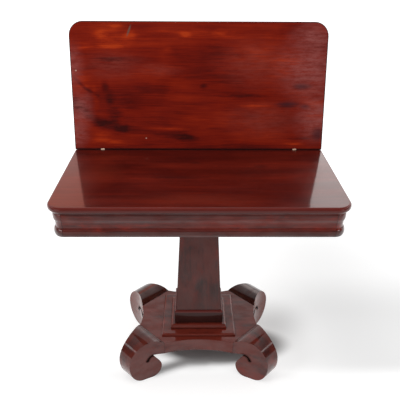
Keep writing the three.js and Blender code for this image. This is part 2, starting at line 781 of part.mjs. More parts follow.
// The foot's side view, x outwards from the joint line and y up from the floor
function footOutline() {
  const crownRadius = (footCrownReach ** 2 + footCrownRise ** 2) / (footCrownRise * 2);
  const startAngle = 180 - THREE.MathUtils.radToDeg(Math.acos(footCrownReach / crownRadius));
  const lipHeight = mouthHeight - kerfWidth / 2;
  const slope = (lipHeight - scrollShoulderHeight) / (mouthReach - scrollShoulderReach);
  const bendHeight = scrollShoulderHeight - slope * (scrollShoulderReach - scrollBackReach);
  const back = new THREE.QuadraticBezierCurve(
    new THREE.Vector2(scrollBackReach, scrollBackHeight),
    new THREE.Vector2(scrollBackReach, bendHeight),
    new THREE.Vector2(scrollShoulderReach, scrollShoulderHeight),
  );
  const crown = arc(
    footCrownReach, crownTop - crownRadius, crownRadius, crownRadius, startAngle, 90, mouldingSteps,
  );
  return [
    new THREE.Vector2(fitGap / 2, platformBase),
    new THREE.Vector2(mouthReach, mouthHeight + kerfWidth / 2),
    new THREE.Vector2(mouthReach, lipHeight),
    ...back.getPoints(mouldingSteps).reverse(),
    ...arc(
      footPadInner, scrollBackHeight, footPadInner - scrollBackReach, scrollBackHeight,
      180, 270, footSteps,
    ).slice(1),
    ...arc(
      footPadOuter, footBellyHeight, footReach - footPadOuter, footBellyHeight, 270, 360, footSteps,
    ),
    ...arc(
      footCrownReach, footBellyHeight, footReach - footCrownReach, crownTop - footBellyHeight,
      0, 90, footSteps,
    ).slice(1, -1),
    ...crown.slice(1).reverse(),
    new THREE.Vector2(fitGap / 2, platformTop),
  ];
}

// The curved saw kerf from the mouth of the scroll to its eye
function kerfOutline() {
  const route = new THREE.QuadraticBezierCurve(
    new THREE.Vector2(mouthReach - overrun, mouthHeight),
    new THREE.Vector2(kerfBendReach, mouthHeight),
    new THREE.Vector2(eyeReach, eyeHeight),
  );
  const side = (sign) => Array.from({ length: footSteps + 1 }, (_, i) => {
    const tangent = route.getTangent(i / footSteps);
    const normal = new THREE.Vector2(-tangent.y, tangent.x);
    return route.getPoint(i / footSteps).addScaledVector(normal, (sign * kerfWidth) / 2);
  });
  return [...side(-1), ...side(1).reverse()];
}

// Stands a side view upright along the diagonal and gives it a width about the joint's middle
function standing(points, width) {
  const body = new THREE.ExtrudeGeometry(new THREE.Shape(points), {
    depth: width, bevelEnabled: false, curveSegments: 1,
  });
  body.translate(0, 0, jointMiddle - width / 2);
  body.applyMatrix4(new THREE.Matrix4().makeBasis(diagonal, upwards, across));
  return body.translate(joint.x, joint.y, 0);
}

function foot() {
  const eye = arc(eyeReach, eyeHeight, eyeRadius, eyeRadius, 0, 360, screwSides).slice(1);
  return cut(
    standing(footOutline(), footBlankWidth),
    standing(kerfOutline(), footBlankWidth + overrun * 2),
    standing(eye, footBlankWidth + overrun * 2),
    ...sawCutters(),
    ...dowelOffsets.map(dowelHole),
  );
}

function platform() {
  const corner = (footJointDistance - fitGap / 2) * Math.SQRT2;
  const outline = [[corner, 0], [0, corner], [-corner, 0], [0, -corner]];
  const blank = new THREE.ExtrudeGeometry(
    new THREE.Shape(outline.map(([x, y]) => new THREE.Vector2(x, y))),
    { depth: platformThickness, bevelEnabled: false },
  );
  const quarters = [[1, 1], [-1, 1], [-1, -1], [1, -1]];
  const [longCut, shortCut] = sawCutters();
  return cut(
    blank.translate(0, 0, platformBase),
    longCut, inQuarter(longCut, 1, -1), shortCut, inQuarter(shortCut, -1, 1),
    ...quarters.flatMap(([x, y]) => dowelOffsets.map((offset) => inQuarter(dowelHole(offset), x, y))),
    mortise(platformBase, platformTop),
  );
}

function addBase() {
  place("platform", platform().translate(0, centreY, 0), baseMahogany);
  const oneFoot = foot();
  for (const [endName, signY] of [["front", -1], ["back", 1]]) {
    for (const [sideName, signX] of [["left", -1], ["right", 1]]) {
      const name = `${endName}_${sideName}`;
      place(`${name}_foot`, inQuarter(oneFoot, signX, signY).translate(0, centreY, 0), baseMahogany);
      dowelOffsets.forEach((offset, i) => {
        const dowel = dowelRod(dowelRadius, -dowelLength / 2, dowelLength / 2, offset);
        const placed = inQuarter(dowel, signX, signY).translate(0, centreY, 0);
        place(`${name}_dowel_${i + 1}`, placed, plainWood);
      });
    }
  }
}
addBase();

export default table;
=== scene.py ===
"""Looks of a swivel-top card table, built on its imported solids. Metres, +Z up, +Y to the back."""

import json
import math

import bpy
from mathutils import Matrix, Vector


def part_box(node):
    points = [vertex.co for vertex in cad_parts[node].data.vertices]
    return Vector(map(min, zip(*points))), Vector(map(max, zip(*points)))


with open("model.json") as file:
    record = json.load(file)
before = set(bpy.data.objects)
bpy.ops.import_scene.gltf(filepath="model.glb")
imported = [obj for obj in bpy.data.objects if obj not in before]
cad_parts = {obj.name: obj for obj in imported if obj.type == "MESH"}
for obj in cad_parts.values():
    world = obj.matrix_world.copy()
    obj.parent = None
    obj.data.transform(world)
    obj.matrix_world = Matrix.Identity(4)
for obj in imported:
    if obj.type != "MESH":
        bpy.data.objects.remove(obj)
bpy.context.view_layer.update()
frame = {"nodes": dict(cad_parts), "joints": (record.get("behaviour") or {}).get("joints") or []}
nodes = frame["nodes"]
scene = bpy.context.scene

# Places that the looks follow, from the joints and the solids
fold = next(j for j in frame["joints"] if j["name"] == "leaf_fold")
FOLD_Y, AXIS_Z = fold["pos_m"][1], fold["pos_m"][2]
LEAN = math.radians(90 + fold["range_deg"][0])
PILLAR_Y = sum(c.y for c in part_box("platform")) / 2
LEAF_HALF_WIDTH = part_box("lower_leaf")[1].x
LEAF_DEPTH = FOLD_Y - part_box("lower_leaf")[0].y
LEAF_CORNER = 0.05  # the leaves' corner radius in the CAD
PLINTH_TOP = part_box("plinth_block")[1].z
FRAME_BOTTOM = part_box("frame_front_rail")[0].z


# Node graphs

class Graph:
    """A shader or geometry node tree with short ways to add nodes and sums."""

    def __init__(self, tree):
        self.tree = tree

    def add(self, kind, values=None, **settings):
        node = self.tree.nodes.new(kind)
        for name, value in settings.items():
            setattr(node, name, value)
        for name, value in (values or {}).items():
            self.put(node.inputs[name], value)
        return node

    def put(self, socket, value):
        if isinstance(value, bpy.types.NodeSocket):
            self.tree.links.new(value, socket)
        else:
            socket.default_value = value

    def math(self, operation, *values, clamp=False):
        node = self.add("ShaderNodeMath", operation=operation, use_clamp=clamp)
        for socket, value in zip(node.inputs, values):
            self.put(socket, value)
        return node.outputs[0]

    def vector(self, operation, *values):
        node = self.add("ShaderNodeVectorMath", operation=operation)
        for socket, value in zip(node.inputs, values):
            self.put(socket, value)
        return node.outputs["Value" if operation in ("LENGTH", "DOT_PRODUCT") else "Vector"]

    def ramp(self, value, low, high, to_low=0.0, to_high=1.0):
        node = self.add("ShaderNodeMapRange", interpolation_type="SMOOTHSTEP")
        for name, given in (("Value", value), ("From Min", low), ("From Max", high),
                            ("To Min", to_low), ("To Max", to_high)):
            self.put(node.inputs[name], given)
        return node.outputs["Result"]

    def mix(self, share, a, b, blend="MIX"):
        node = self.add("ShaderNodeMix", data_type="RGBA", blend_type=blend)
        self.put(node.inputs["Factor"], share)
        colours = [s for s in node.inputs if s.type == "RGBA"]
        for socket, value in zip(colours, (a, b)):
            self.put(socket, value if isinstance(value, bpy.types.NodeSocket) else (*value, 1))
        return next(s for s in node.outputs if s.type == "RGBA")

    def noise(self, place, stretch, detail=3.0, roughness=0.5, distortion=0.0):
        scaled = self.vector("MULTIPLY", place, stretch)
        return self.add("ShaderNodeTexNoise", {
            "Vector": scaled, "Scale": 1.0, "Detail": detail,
            "Roughness": roughness, "Distortion": distortion,
        }).outputs["Fac"]

    def part(self, vector, axis):
        """One of a vector's three numbers."""
        return self.add("ShaderNodeSeparateXYZ", {"Vector": vector}).outputs[axis]

    def colours(self, value, stops):
        node = self.add("ShaderNodeValToRGB")
        ramp = node.color_ramp
        while len(ramp.elements) < len(stops):
            ramp.elements.new(0.5)
        for element, (at, colour) in zip(ramp.elements, stops):
            element.position = at
            element.color = (*colour, 1)
        self.put(node.inputs["Fac"], value)
        return node.outputs["Color"]


def new_material(name):
    material = bpy.data.materials.new(name)
    material.use_nodes = True
    material.node_tree.nodes.clear()
    return material, Graph(material.node_tree)


def finish_material(g, values):
    shader = g.add("ShaderNodeBsdfPrincipled", values)
    g.put(g.add("ShaderNodeOutputMaterial").inputs["Surface"], shader.outputs[0])


def edge_mask(g, radius):
    """1 on rounded and sharp edges, 0 on flat faces."""
    rounded = g.add("ShaderNodeBevel", {"Radius": radius}, samples=4).outputs[0]
    plain = g.add("ShaderNodeNewGeometry").outputs["Normal"]
    same = g.vector("DOT_PRODUCT", rounded, plain)
    return g.ramp(same, 0.97, 0.80)


def facing_up(g):
    """1 where a surface faces straight up, 0 where it stands upright."""
    return g.part(g.add("ShaderNodeNewGeometry").outputs["Normal"], "Z")


def crevice_mask(g, reach):
    """1 deep in corners, mouldings and saw cuts, 0 in the open."""
    open_share = g.add("ShaderNodeAmbientOcclusion", {"Distance": reach}, samples=6).outputs["AO"]
    return g.ramp(open_share, 0.75, 0.25)


# Places, and masks drawn on them. A wood's place is turned so that its grain runs along the first axis.

def grain_place(g, turn=(0, 0, 0), shift=(0, 0, 0), scale=(1, 1, 1)):
    coordinates = g.add("ShaderNodeTexCoord").outputs["Object"]
    return g.add("ShaderNodeMapping", {
        "Vector": coordinates, "Location": shift, "Rotation": turn, "Scale": scale,
    }).outputs[0]


def warped(g, place, amount, scale=3.0):
    """The place pushed about by noise, by at most half the amount either way."""
    noise = g.add("ShaderNodeTexNoise", {"Vector": place, "Scale": scale, "Detail": 2.0})
    centred = g.vector("SUBTRACT", noise.outputs["Color"], (0.5, 0.5, 0.5))
    return g.vector("ADD", place, g.vector("MULTIPLY", centred, amount))


def blob(g, place, centre, size, soft=0.5):
    """A soft ellipse on the first two axes, 1 in its middle."""
    away = g.vector("SUBTRACT", place, (*centre, 0))
    share = g.vector("MULTIPLY", away, (1 / size[0], 1 / size[1], 0))
    return g.ramp(g.vector("LENGTH", share), 1.0, 1.0 - soft)


def stroke(g, place, points, width, soft=1.0):
    """A soft line through points on the first two axes, 1 along its middle."""
    nearest = 1.0
    for start, end in zip(points, points[1:]):
        run = Vector(end) - Vector(start)
        away = g.vector("SUBTRACT", place, (*start, 0))
        share = g.vector("DOT_PRODUCT", away, (*(run / run.length_squared), 0))
        foot = g.vector("MULTIPLY", g.math("MULTIPLY", share, 1, clamp=True), (*run, 0))
        away = g.vector("MULTIPLY", g.vector("SUBTRACT", away, foot), (1, 1, 0))
        nearest = g.math("MINIMUM", g.vector("LENGTH", away), nearest)
    return g.ramp(nearest, width, width * (1 - soft))


def leaf_rim(g, place, reach):
    """1 on a leaf's rounded edge, 0 further in than the reach. The edge at the fold has none."""
    spare = 0.1
    fade = 0.0025
    from_middle = g.vector("ABSOLUTE", g.vector("SUBTRACT", place, (0, LEAF_DEPTH / 2 - spare, 0)))
    straight = (LEAF_HALF_WIDTH - LEAF_CORNER, LEAF_DEPTH / 2 + spare - LEAF_CORNER, 10)
    beyond = g.vector("MAXIMUM", g.vector("SUBTRACT", from_middle, straight), (0, 0, 0))
    out = g.math("SUBTRACT", g.vector("LENGTH", beyond), LEAF_CORNER)
    return g.ramp(out, -reach, fade - reach)


def together(g, masks):
    """The highest of the masks at each point."""
    total = masks[0]
    for mask in masks[1:]:
        total = g.math("MAXIMUM", total, mask)
    return total


# Mahogany, with dirt and painted shade in the corners, dark pores and darker edges

# The tone and share of the painted shade, with dirt, in corners and mouldings, and how far the occlusion
# reaches
SHADE_AND_DIRT_TONE, SHADE_AND_DIRT_SHARE, SHADE_AND_DIRT_REACH = (0.006, 0.002, 0.002), 0.85, 0.014
PORE_TONE, PORE_SHARE = (0.008, 0.002, 0.002), 0.30
EDGE_TONE, EDGE_SHARE, EDGE_REACH = (0.012, 0.003, 0.003), 0.55, 0.0025


def mahogany(name, place, tones, bands=0.5, streaks=0.3, figure=0.2, figure_size=9.0,
             bias=None, marks=None, roughness=0.34, coat_roughness=0.07, coat_ior=1.5,
             cup=0.0, rim=None, polish=None, dull=0.0):
    """Varnished mahogany in the given tones, dark to light.

    Bands, streaks and figure are the shares of the grain's three scales. The bias shifts the tone
    from place to place, marks repaint the colour, some with painted light and shade, polish scales
    the coat, and dull is how much of the coat handling has taken. A cup bows the coat, as a board
    bows. A rim is a band along a leaf's rounded edge: how far its tone and its thinner coat reach
    in, and how much there is of each.
    """
    material, g = new_material(name)
    at = place(g)
    bent = warped(g, at, (0.03, 0.02, 0.02))
    band = g.noise(bent, (2.2, 26, 26), detail=6, roughness=0.62)
    streak = g.noise(bent, (6, 230, 230), detail=6, roughness=0.66)
    blotch = g.noise(bent, (figure_size * 0.6, figure_size, figure_size), detail=3, distortion=0.8)
    value = g.math("MULTIPLY", band, bands)
    value = g.math("ADD", value, g.math("MULTIPLY", streak, streaks))
    value = g.math("ADD", value, g.math("MULTIPLY", blotch, figure))
    value = g.ramp(value, 0.33, 0.67)
    if bias:
        value = g.math("ADD", g.math("MULTIPLY_ADD", value, 0.5, 0.25), bias(g, bent))
    colour = g.colours(value, tones)
    if marks:
        colour = marks(g, at, bent, colour)
    pores = g.ramp(g.noise(at, (28, 900, 900), detail=2), 0.60, 0.72)
    colour = g.mix(g.math("MULTIPLY", pores, PORE_SHARE), colour, PORE_TONE)
    colour = g.mix(g.math("MULTIPLY", edge_mask(g, EDGE_REACH), EDGE_SHARE), colour, EDGE_TONE)
    # Painted shade, with dirt, darkens what is closed in: corners, mouldings and saw cuts
    grime_and_shade = crevice_mask(g, SHADE_AND_DIRT_REACH)
    colour = g.mix(g.math("MULTIPLY", grime_and_shade, SHADE_AND_DIRT_SHARE), colour, SHADE_AND_DIRT_TONE)
    coat = g.ramp(grime_and_shade, 0.0, 1.0, 1.0, 0.25)
    if rim:
        edge = g.math("MULTIPLY", leaf_rim(g, at, rim["reach"]), rim["share"])
        colour = g.mix(edge, colour, rim["tone"])
        worn = leaf_rim(g, at, rim["coat_reach"])
        coat = g.math("MULTIPLY", coat, g.ramp(worn, 0.0, 1.0, 1.0, rim["coat_share"]))
    if polish:
        coat = g.math("MULTIPLY", coat, polish(g, at))
    if dull:
        handled = g.noise(bent, (15, 34, 34), detail=5, roughness=0.6)
        coat = g.math("MULTIPLY", coat, g.ramp(handled, 0.34, 0.64, 1.0 - dull, 1.0))
    smears = g.noise(at, (5, 9, 9), detail=3)
    rough = g.ramp(smears, 0.3, 0.75, roughness - 0.06, roughness + 0.12)
    height = g.math("ADD", g.math("MULTIPLY", pores, -0.6), g.math("MULTIPLY", streak, 0.4))
    bump = g.add("ShaderNodeBump", {"Height": height, "Strength": 0.10, "Distance": 0.0004})
    shader = {
        "Base Color": colour, "Roughness": rough, "IOR": 1.5, "Specular IOR Level": 0.08,
        "Coat Weight": coat, "Coat Roughness": coat_roughness,
        "Coat IOR": coat_ior, "Normal": bump.outputs[0],
    }
    if cup:
        hollow = g.vector("MULTIPLY_ADD", at, (-cup, 0, 0), (cup * 0.15, 0, 0))
        bowed = g.vector("ADD", g.add("ShaderNodeNewGeometry").outputs["Normal"], hollow)
        shader["Coat Normal"] = g.vector("NORMALIZE", bowed)
    finish_material(g, shader)
    return material


RED = [(0.0, (0.040, 0.0026, 0.0018)), (0.30, (0.100, 0.0040, 0.0014)),
       (0.50, (0.160, 0.0068, 0.0014)), (0.70, (0.215, 0.0115, 0.0018)),
       (0.85, (0.290, 0.0190, 0.0024)), (1.0, (0.380, 0.0330, 0.0040))]
DEEP = [(0.0, (0.036, 0.0026, 0.0018)), (0.4, (0.062, 0.0046, 0.0026)),
        (0.75, (0.088, 0.0068, 0.0034)), (1.0, (0.125, 0.0100, 0.0045))]
PLUM = [(0.0, (0.020, 0.0056, 0.0044)), (0.4, (0.050, 0.0098, 0.0074)),
        (0.75, (0.086, 0.0145, 0.0105)), (1.0, (0.140, 0.0200, 0.0120))]
ROSE = [(0.0, (0.034, 0.0058, 0.0044)), (0.4, (0.074, 0.0095, 0.0068)),
        (0.75, (0.118, 0.0135, 0.0090)), (1.0, (0.185, 0.0200, 0.0110))]
# A darker copy of the plum tones: painted shade for the plinth block under the table's top
SHADED_PLUM = [(0.0, (0.010, 0.0044, 0.0038)), (0.5, (0.018, 0.0060, 0.0050)),
         (1.0, (0.036, 0.0090, 0.0070))]


def upper_place(g):
    """Along the leaf, then up it from the fold."""
    turn = LEAN - math.pi / 2
    up = FOLD_Y * math.sin(LEAN) + AXIS_Z * math.cos(LEAN)
    return grain_place(g, turn=(turn, 0, 0), shift=(0, -up, 0))


def lower_place(g):
    """Along the leaf, then forward from the fold."""
    return grain_place(g, shift=(0, FOLD_Y, 0), scale=(1, -1, 1))


def spots(g, place, places, soft=1.0):
    """Several blobs as one mask."""
    return together(g, [blob(g, place, centre, size, soft) for centre, size in places])


def fold_shade_and_dirt(g, at, colour):
    """The dark line where the two leaves meet: painted shade in the crease, with dirt."""
    from_fold = g.part(at, "Y")
    return g.mix(g.ramp(from_fold, 0.008, 0.0015, 0.0, 0.92), colour, (0.008, 0.002, 0.002))


UPPER_FIGURE = (
    # bright orange flecks, mostly in the upper left
    (0.28, (((-0.290, 0.432), (0.050, 0.014)), ((-0.350, 0.400), (0.040, 0.026)),
            ((-0.245, 0.398), (0.044, 0.024)), ((-0.315, 0.362), (0.080, 0.012)),
            ((-0.410, 0.362), (0.050, 0.024)), ((-0.050, 0.400), (0.030, 0.018)),
            ((-0.112, 0.352), (0.026, 0.016)), ((0.072, 0.412), (0.034, 0.018)),
            ((-0.125, 0.077), (0.120, 0.014)), ((-0.350, 0.060), (0.060, 0.026)),
            ((-0.310, 0.026), (0.080, 0.018)), ((0.350, 0.022), (0.070, 0.012)),
            ((-0.372, 0.190), (0.022, 0.060)),
            ((0.210, 0.165), (0.100, 0.022)), ((-0.355, 0.035), (0.070, 0.026)))),
    # lighter, redder clouds
    (0.19, (((-0.320, 0.395), (0.240, 0.090)), ((0.150, 0.145), (0.230, 0.050)),
            ((-0.140, 0.275), (0.150, 0.040)), ((0.000, 0.412), (0.420, 0.045)),
            ((0.060, 0.095), (0.300, 0.050)), ((0.300, 0.300), (0.130, 0.110)),
            ((0.410, 0.150), (0.080, 0.120)), ((-0.420, 0.230), (0.060, 0.150)),
            ((0.210, 0.130), (0.150, 0.060)), ((0.200, 0.330), (0.160, 0.120)),
            ((0.240, 0.060), (0.200, 0.040)))),
    # the deep red middle and the shade along the fold
    (-0.15, (((0.030, 0.330), (0.110, 0.100)), ((-0.170, 0.215), (0.160, 0.040)),
             ((0.090, 0.235), (0.160, 0.040)), ((-0.130, 0.030), (0.200, 0.030)),
             ((0.080, 0.010), (0.340, 0.022)), ((-0.250, 0.175), (0.070, 0.070)),
             ((-0.080, 0.030), (0.260, 0.034)), ((-0.300, 0.130), (0.110, 0.070)))),
    # dark streaks, the swirl at the lower left and a knot
    (-0.30, (((0.373, 0.226), (0.050, 0.016)), ((0.320, 0.166), (0.080, 0.020)),
             ((0.437, 0.055), (0.040, 0.034)), ((0.200, 0.197), (0.240, 0.008)),
             ((-0.044, 0.048), (0.060, 0.020)), ((-0.310, 0.320), (0.070, 0.012)),
             ((0.340, 0.042), (0.120, 0.010)),
             ((-0.328, 0.230), (0.026, 0.036)), ((-0.312, 0.180), (0.028, 0.046)),
             ((-0.302, 0.130), (0.040, 0.050)), ((0.018, 0.227), (0.020, 0.015)),
             ((-0.345, 0.095), (0.060, 0.034)))),
)
SWIRL = ((-0.447, 0.176), (-0.405, 0.128), (-0.350, 0.094), (-0.270, 0.080))
SWIRL_TAIL = ((-0.290, 0.084), (-0.180, 0.062), (-0.035, 0.050))
SCRATCH = ((-0.458, 0.274), (-0.436, 0.252), (-0.405, 0.222), (-0.360, 0.196))


def upper_bias(g, bent):
    """How much lighter or darker than plain mahogany the raised leaf is, from place to place."""
    frayed = warped(g, bent, (0.030, 0.012, 0), scale=14.0)
    cloud = g.ramp(g.noise(bent, (9, 42, 42), detail=6, roughness=0.65), 0.32, 0.68, 0.35, 1.5)
    total = 0.0
    for amount, places in UPPER_FIGURE:
        total = g.math("MULTIPLY_ADD", spots(g, frayed, places), amount, total)
    total = g.math("MULTIPLY_ADD", stroke(g, frayed, SWIRL, 0.030), -0.40, total)
    total = g.math("MULTIPLY_ADD", stroke(g, frayed, SWIRL_TAIL, 0.024), -0.20, total)
    total = g.math("MULTIPLY_ADD", stroke(g, bent, SCRATCH, 0.010), -0.30, total)
    return g.math("MULTIPLY", total, cloud)


def upper_marks(g, at, bent, colour):
    """The milky and hazy polish, the stains, the scuff and the chips on the raised leaf."""
    drifting = warped(g, bent, (0.04, 0.03, 0), scale=9.0)
    milky = spots(g, drifting, (
        ((0.190, 0.310), (0.180, 0.120)), ((0.230, 0.110), (0.200, 0.090)),
        ((-0.300, 0.300), (0.160, 0.070)), ((-0.150, 0.284), (0.120, 0.030)),
    ))
    hazy = spots(g, drifting, (
        ((0.400, 0.290), (0.170, 0.180)), ((0.430, 0.120), (0.110, 0.130)),
        ((0.400, 0.390), (0.130, 0.080)), ((-0.430, 0.140), (0.070, 0.110)),
        ((-0.445, 0.060), (0.070, 0.070)), ((-0.450, 0.300), (0.060, 0.110)),
    ))
    veil = g.ramp(g.noise(at, (24, 92, 92), detail=6, roughness=0.75), 0.34, 0.66, 0.24, 0.84)
    milky = g.math("MULTIPLY", g.math("MULTIPLY", milky, veil), 0.55)
    colour = g.mix(milky, colour, (0.230, 0.046, 0.034))
    colour = g.mix(g.math("MULTIPLY", hazy, veil), colour, (0.285, 0.078, 0.070))
    stains = spots(g, bent, (((0.372, 0.228), (0.046, 0.020)), ((0.322, 0.168), (0.070, 0.016)),
                             ((0.440, 0.060), (0.036, 0.040)), ((0.385, 0.160), (0.030, 0.016))))
    colour = g.mix(g.math("MULTIPLY", stains, 0.62), colour, (0.046, 0.012, 0.017))
    leaning = g.vector("ADD", at, g.vector("MULTIPLY", g.part(at, "Y"), (-0.38, 0, 0)))
    scuff = blob(g, leaning, (-0.404, 0.418), (0.0055, 0.026), 0.7)
    colour = g.mix(g.math("MULTIPLY", scuff, 0.7), colour, (0.110, 0.082, 0.062))
    chips = spots(g, at, (((-0.193, 0.042), (0.003, 0.003)), ((-0.437, 0.282), (0.004, 0.003))), 0.4)
    # The dark fold line: painted shade, with dirt
    return fold_shade_and_dirt(g, at, g.mix(chips, colour, (0.42, 0.26, 0.21)))


def lower_marks_and_painted_light(g, at, bent, colour):
    """Painted light in front and at the left, painted shade towards the fold, and dark knots, on the
    playing face.
    """
    # Painted light: the front and the left of the leaf lighter
    glow = spots(g, bent, (((0.000, 0.400), (0.300, 0.060)), ((-0.330, 0.210), (0.110, 0.120))))
    colour = g.mix(g.math("MULTIPLY", glow, 0.50), colour, (0.135, 0.0150, 0.0070))
    # Painted shade: darker towards the fold
    from_fold = g.part(at, "Y")
    colour = g.mix(g.ramp(from_fold, 0.22, 0.0, 0.0, 0.24), colour, (0.026, 0.0030, 0.0020))
    dark = spots(g, bent, (((-0.015, 0.120), (0.030, 0.016)), ((0.215, 0.150), (0.034, 0.020)),
                           ((-0.080, 0.240), (0.130, 0.020))), 0.9)
    # Along the fold, painted shade with dirt
    return fold_shade_and_dirt(g, at, g.mix(g.math("MULTIPLY", dark, 0.5), colour, (0.018, 0.003, 0.003)))


def red_patches(g, at, bent, colour, share=0.6):
    """The red figure that shows through the dark veneer here and there."""
    red = g.ramp(g.noise(bent, (9, 16, 16), detail=3), 0.56, 0.72)
    return g.mix(g.math("MULTIPLY", red, share), colour, (0.240, 0.0170, 0.0080))


def faint_patches(g, at, bent, colour):
    """Less of the red figure, for the platform."""
    return red_patches(g, at, bent, colour, share=0.35)


def tier_figure_and_reflection(g, at, bent, colour):
    """Red figure, with a painted dark reflection, mottled, on the flat tops of the two tiers under the
    plinth.
    """
    reflection_mottle = g.ramp(g.noise(bent, (22, 40, 40), detail=4), 0.36, 0.60, 0.45, 0.0)
    # Painted reflection of the dark plinth, on the faces that look up
    flat = g.math("MULTIPLY", g.ramp(facing_up(g), 0.90, 0.99), reflection_mottle)
    return g.mix(flat, red_patches(g, at, bent, colour, share=0.75), (0.020, 0.0056, 0.0060))


def frame_patches(g, at, bent, colour):
    """The frame's red figure, and its lowest moulding browner than the rest."""
    red = g.ramp(g.noise(bent, (11, 26, 26), detail=4, roughness=0.6), 0.53, 0.68)
    colour = g.mix(g.math("MULTIPLY", red, 0.60), colour, (0.260, 0.0170, 0.0070))
    lowest = g.ramp(g.part(at, "Z"), FRAME_BOTTOM + 0.028, FRAME_BOTTOM + 0.020, 0.0, 0.45)
    return g.mix(lowest, colour, (0.028, 0.0140, 0.0120))


def pillar_figure_and_shade(g, at, bent, colour):
    """Red figure above, and painted shade, with dirt, darkening towards the pillar's foot."""
    colour = red_patches(g, at, bent, colour)
    # Painted shade, with dirt: darker towards the foot
    dirt_and_shade = g.ramp(g.part(at, "X"), 0.56, 0.24, 0.06, 0.50)
    return g.mix(dirt_and_shade, colour, (0.020, 0.0066, 0.0056))


def plinth_sheen_and_highlight(g, at, bent, colour):
    """A painted red highlight on the arris and a painted plum sheen on the upper half of the dark block
    under the pillar.
    """
    height = g.part(at, "Z")
    # Painted sheen on the upper half of the front
    painted_sheen = g.ramp(height, PLINTH_TOP - 0.030, PLINTH_TOP - 0.018, 0.0, 0.7)
    # Painted highlight along the top arris
    arris = g.ramp(height, PLINTH_TOP - 0.0110, PLINTH_TOP - 0.0060, 0.0, 0.9)
    colour = g.mix(painted_sheen, colour, (0.044, 0.0100, 0.0080))
    return g.mix(arris, colour, (0.120, 0.0190, 0.0150))


def pillar_polish(g, at):
    """Less polish towards the pillar's foot."""
    return g.ramp(g.part(at, "X"), 0.24, 0.52, 0.70, 1.0)


def plinth_polish(g, at):
    """Half the polish all over."""
    return 0.5


# The joint of foot and platform is this far from the middle of the base, along the diagonal
FOOT_START = 0.194

# A foot's saw cut, from the mouth of the scroll to its eye: how far past the joint, and how high
KERF = ((0.036, 0.105), (0.0434, 0.1037), (0.0498, 0.100), (0.0549, 0.0938), (0.059, 0.085))
EYE = KERF[-1]
# How far the painted shade, with dirt, reaches round the saw cut and round the eye
CUT_SHADE_AND_DIRT, EYE_SHADE_AND_DIRT = 0.0100, (0.0080, 0.0080)


def foot_places(g, at, side):
    """How far a point is along its foot with its height, and 1 at the back foot."""
    along = g.math("ADD", g.part(at, "X"), side * PILLAR_Y / math.sqrt(2))
    flat = g.add("ShaderNodeCombineXYZ", {
        "X": g.math("SUBTRACT", g.math("ABSOLUTE", along), FOOT_START), "Y": g.part(at, "Z"),
    }).outputs[0]
    return flat, g.math("GREATER_THAN", g.math("MULTIPLY", along, -side), 0.0)


def foot_marks_and_painted_light(side):
    """Red figure, painted shade on the crowns, painted light on the back foot's redder sides, and
    painted shade with dirt round each scroll's saw cut and eye.
    """
    def marks(g, at, bent, colour):
        flat, back = foot_places(g, at, side)
        crown = g.ramp(facing_up(g), 0.12, 0.35)
        colour = red_patches(g, at, bent, colour)
        # Painted light: the back foot's upright sides redder
        red = g.math("MULTIPLY", back, g.math("MULTIPLY_ADD", crown, -0.7, 0.7))
        colour = g.mix(red, colour, (0.190, 0.0330, 0.0180))
        # Painted shade on the crowns, deeper on the back foot
        dark = g.math("MULTIPLY", crown, g.math("MULTIPLY_ADD", back, 0.35, 0.30))
        colour = g.mix(dark, colour, (0.014, 0.0050, 0.0042))
        # Painted shade, with dirt, along the saw cut
        cut = g.math("MULTIPLY", stroke(g, flat, KERF, CUT_SHADE_AND_DIRT, 0.7), 0.80)
        colour = g.mix(cut, colour, (0.024, 0.0100, 0.0076))
        # Near-black painted shade round the eye, deepest on the back foot
        eye = g.math("MULTIPLY", blob(g, flat, EYE, EYE_SHADE_AND_DIRT, 0.30),
                     g.math("MULTIPLY_ADD", back, 0.75, 0.25))
        return g.mix(eye, colour, (0.002, 0.0010, 0.0010))
    return marks


def foot_polish(side):
    """No polish where the dirt and the painted shade lie."""
    def polish(g, at):
        flat = foot_places(g, at, side)[0]
        dirt_and_shade = together(g, [stroke(g, flat, KERF, CUT_SHADE_AND_DIRT, 0.6), blob(g, flat, EYE, EYE_SHADE_AND_DIRT, 0.30)])
        return g.ramp(dirt_and_shade, 0.0, 1.0, 1.0, 0.0)
    return polish


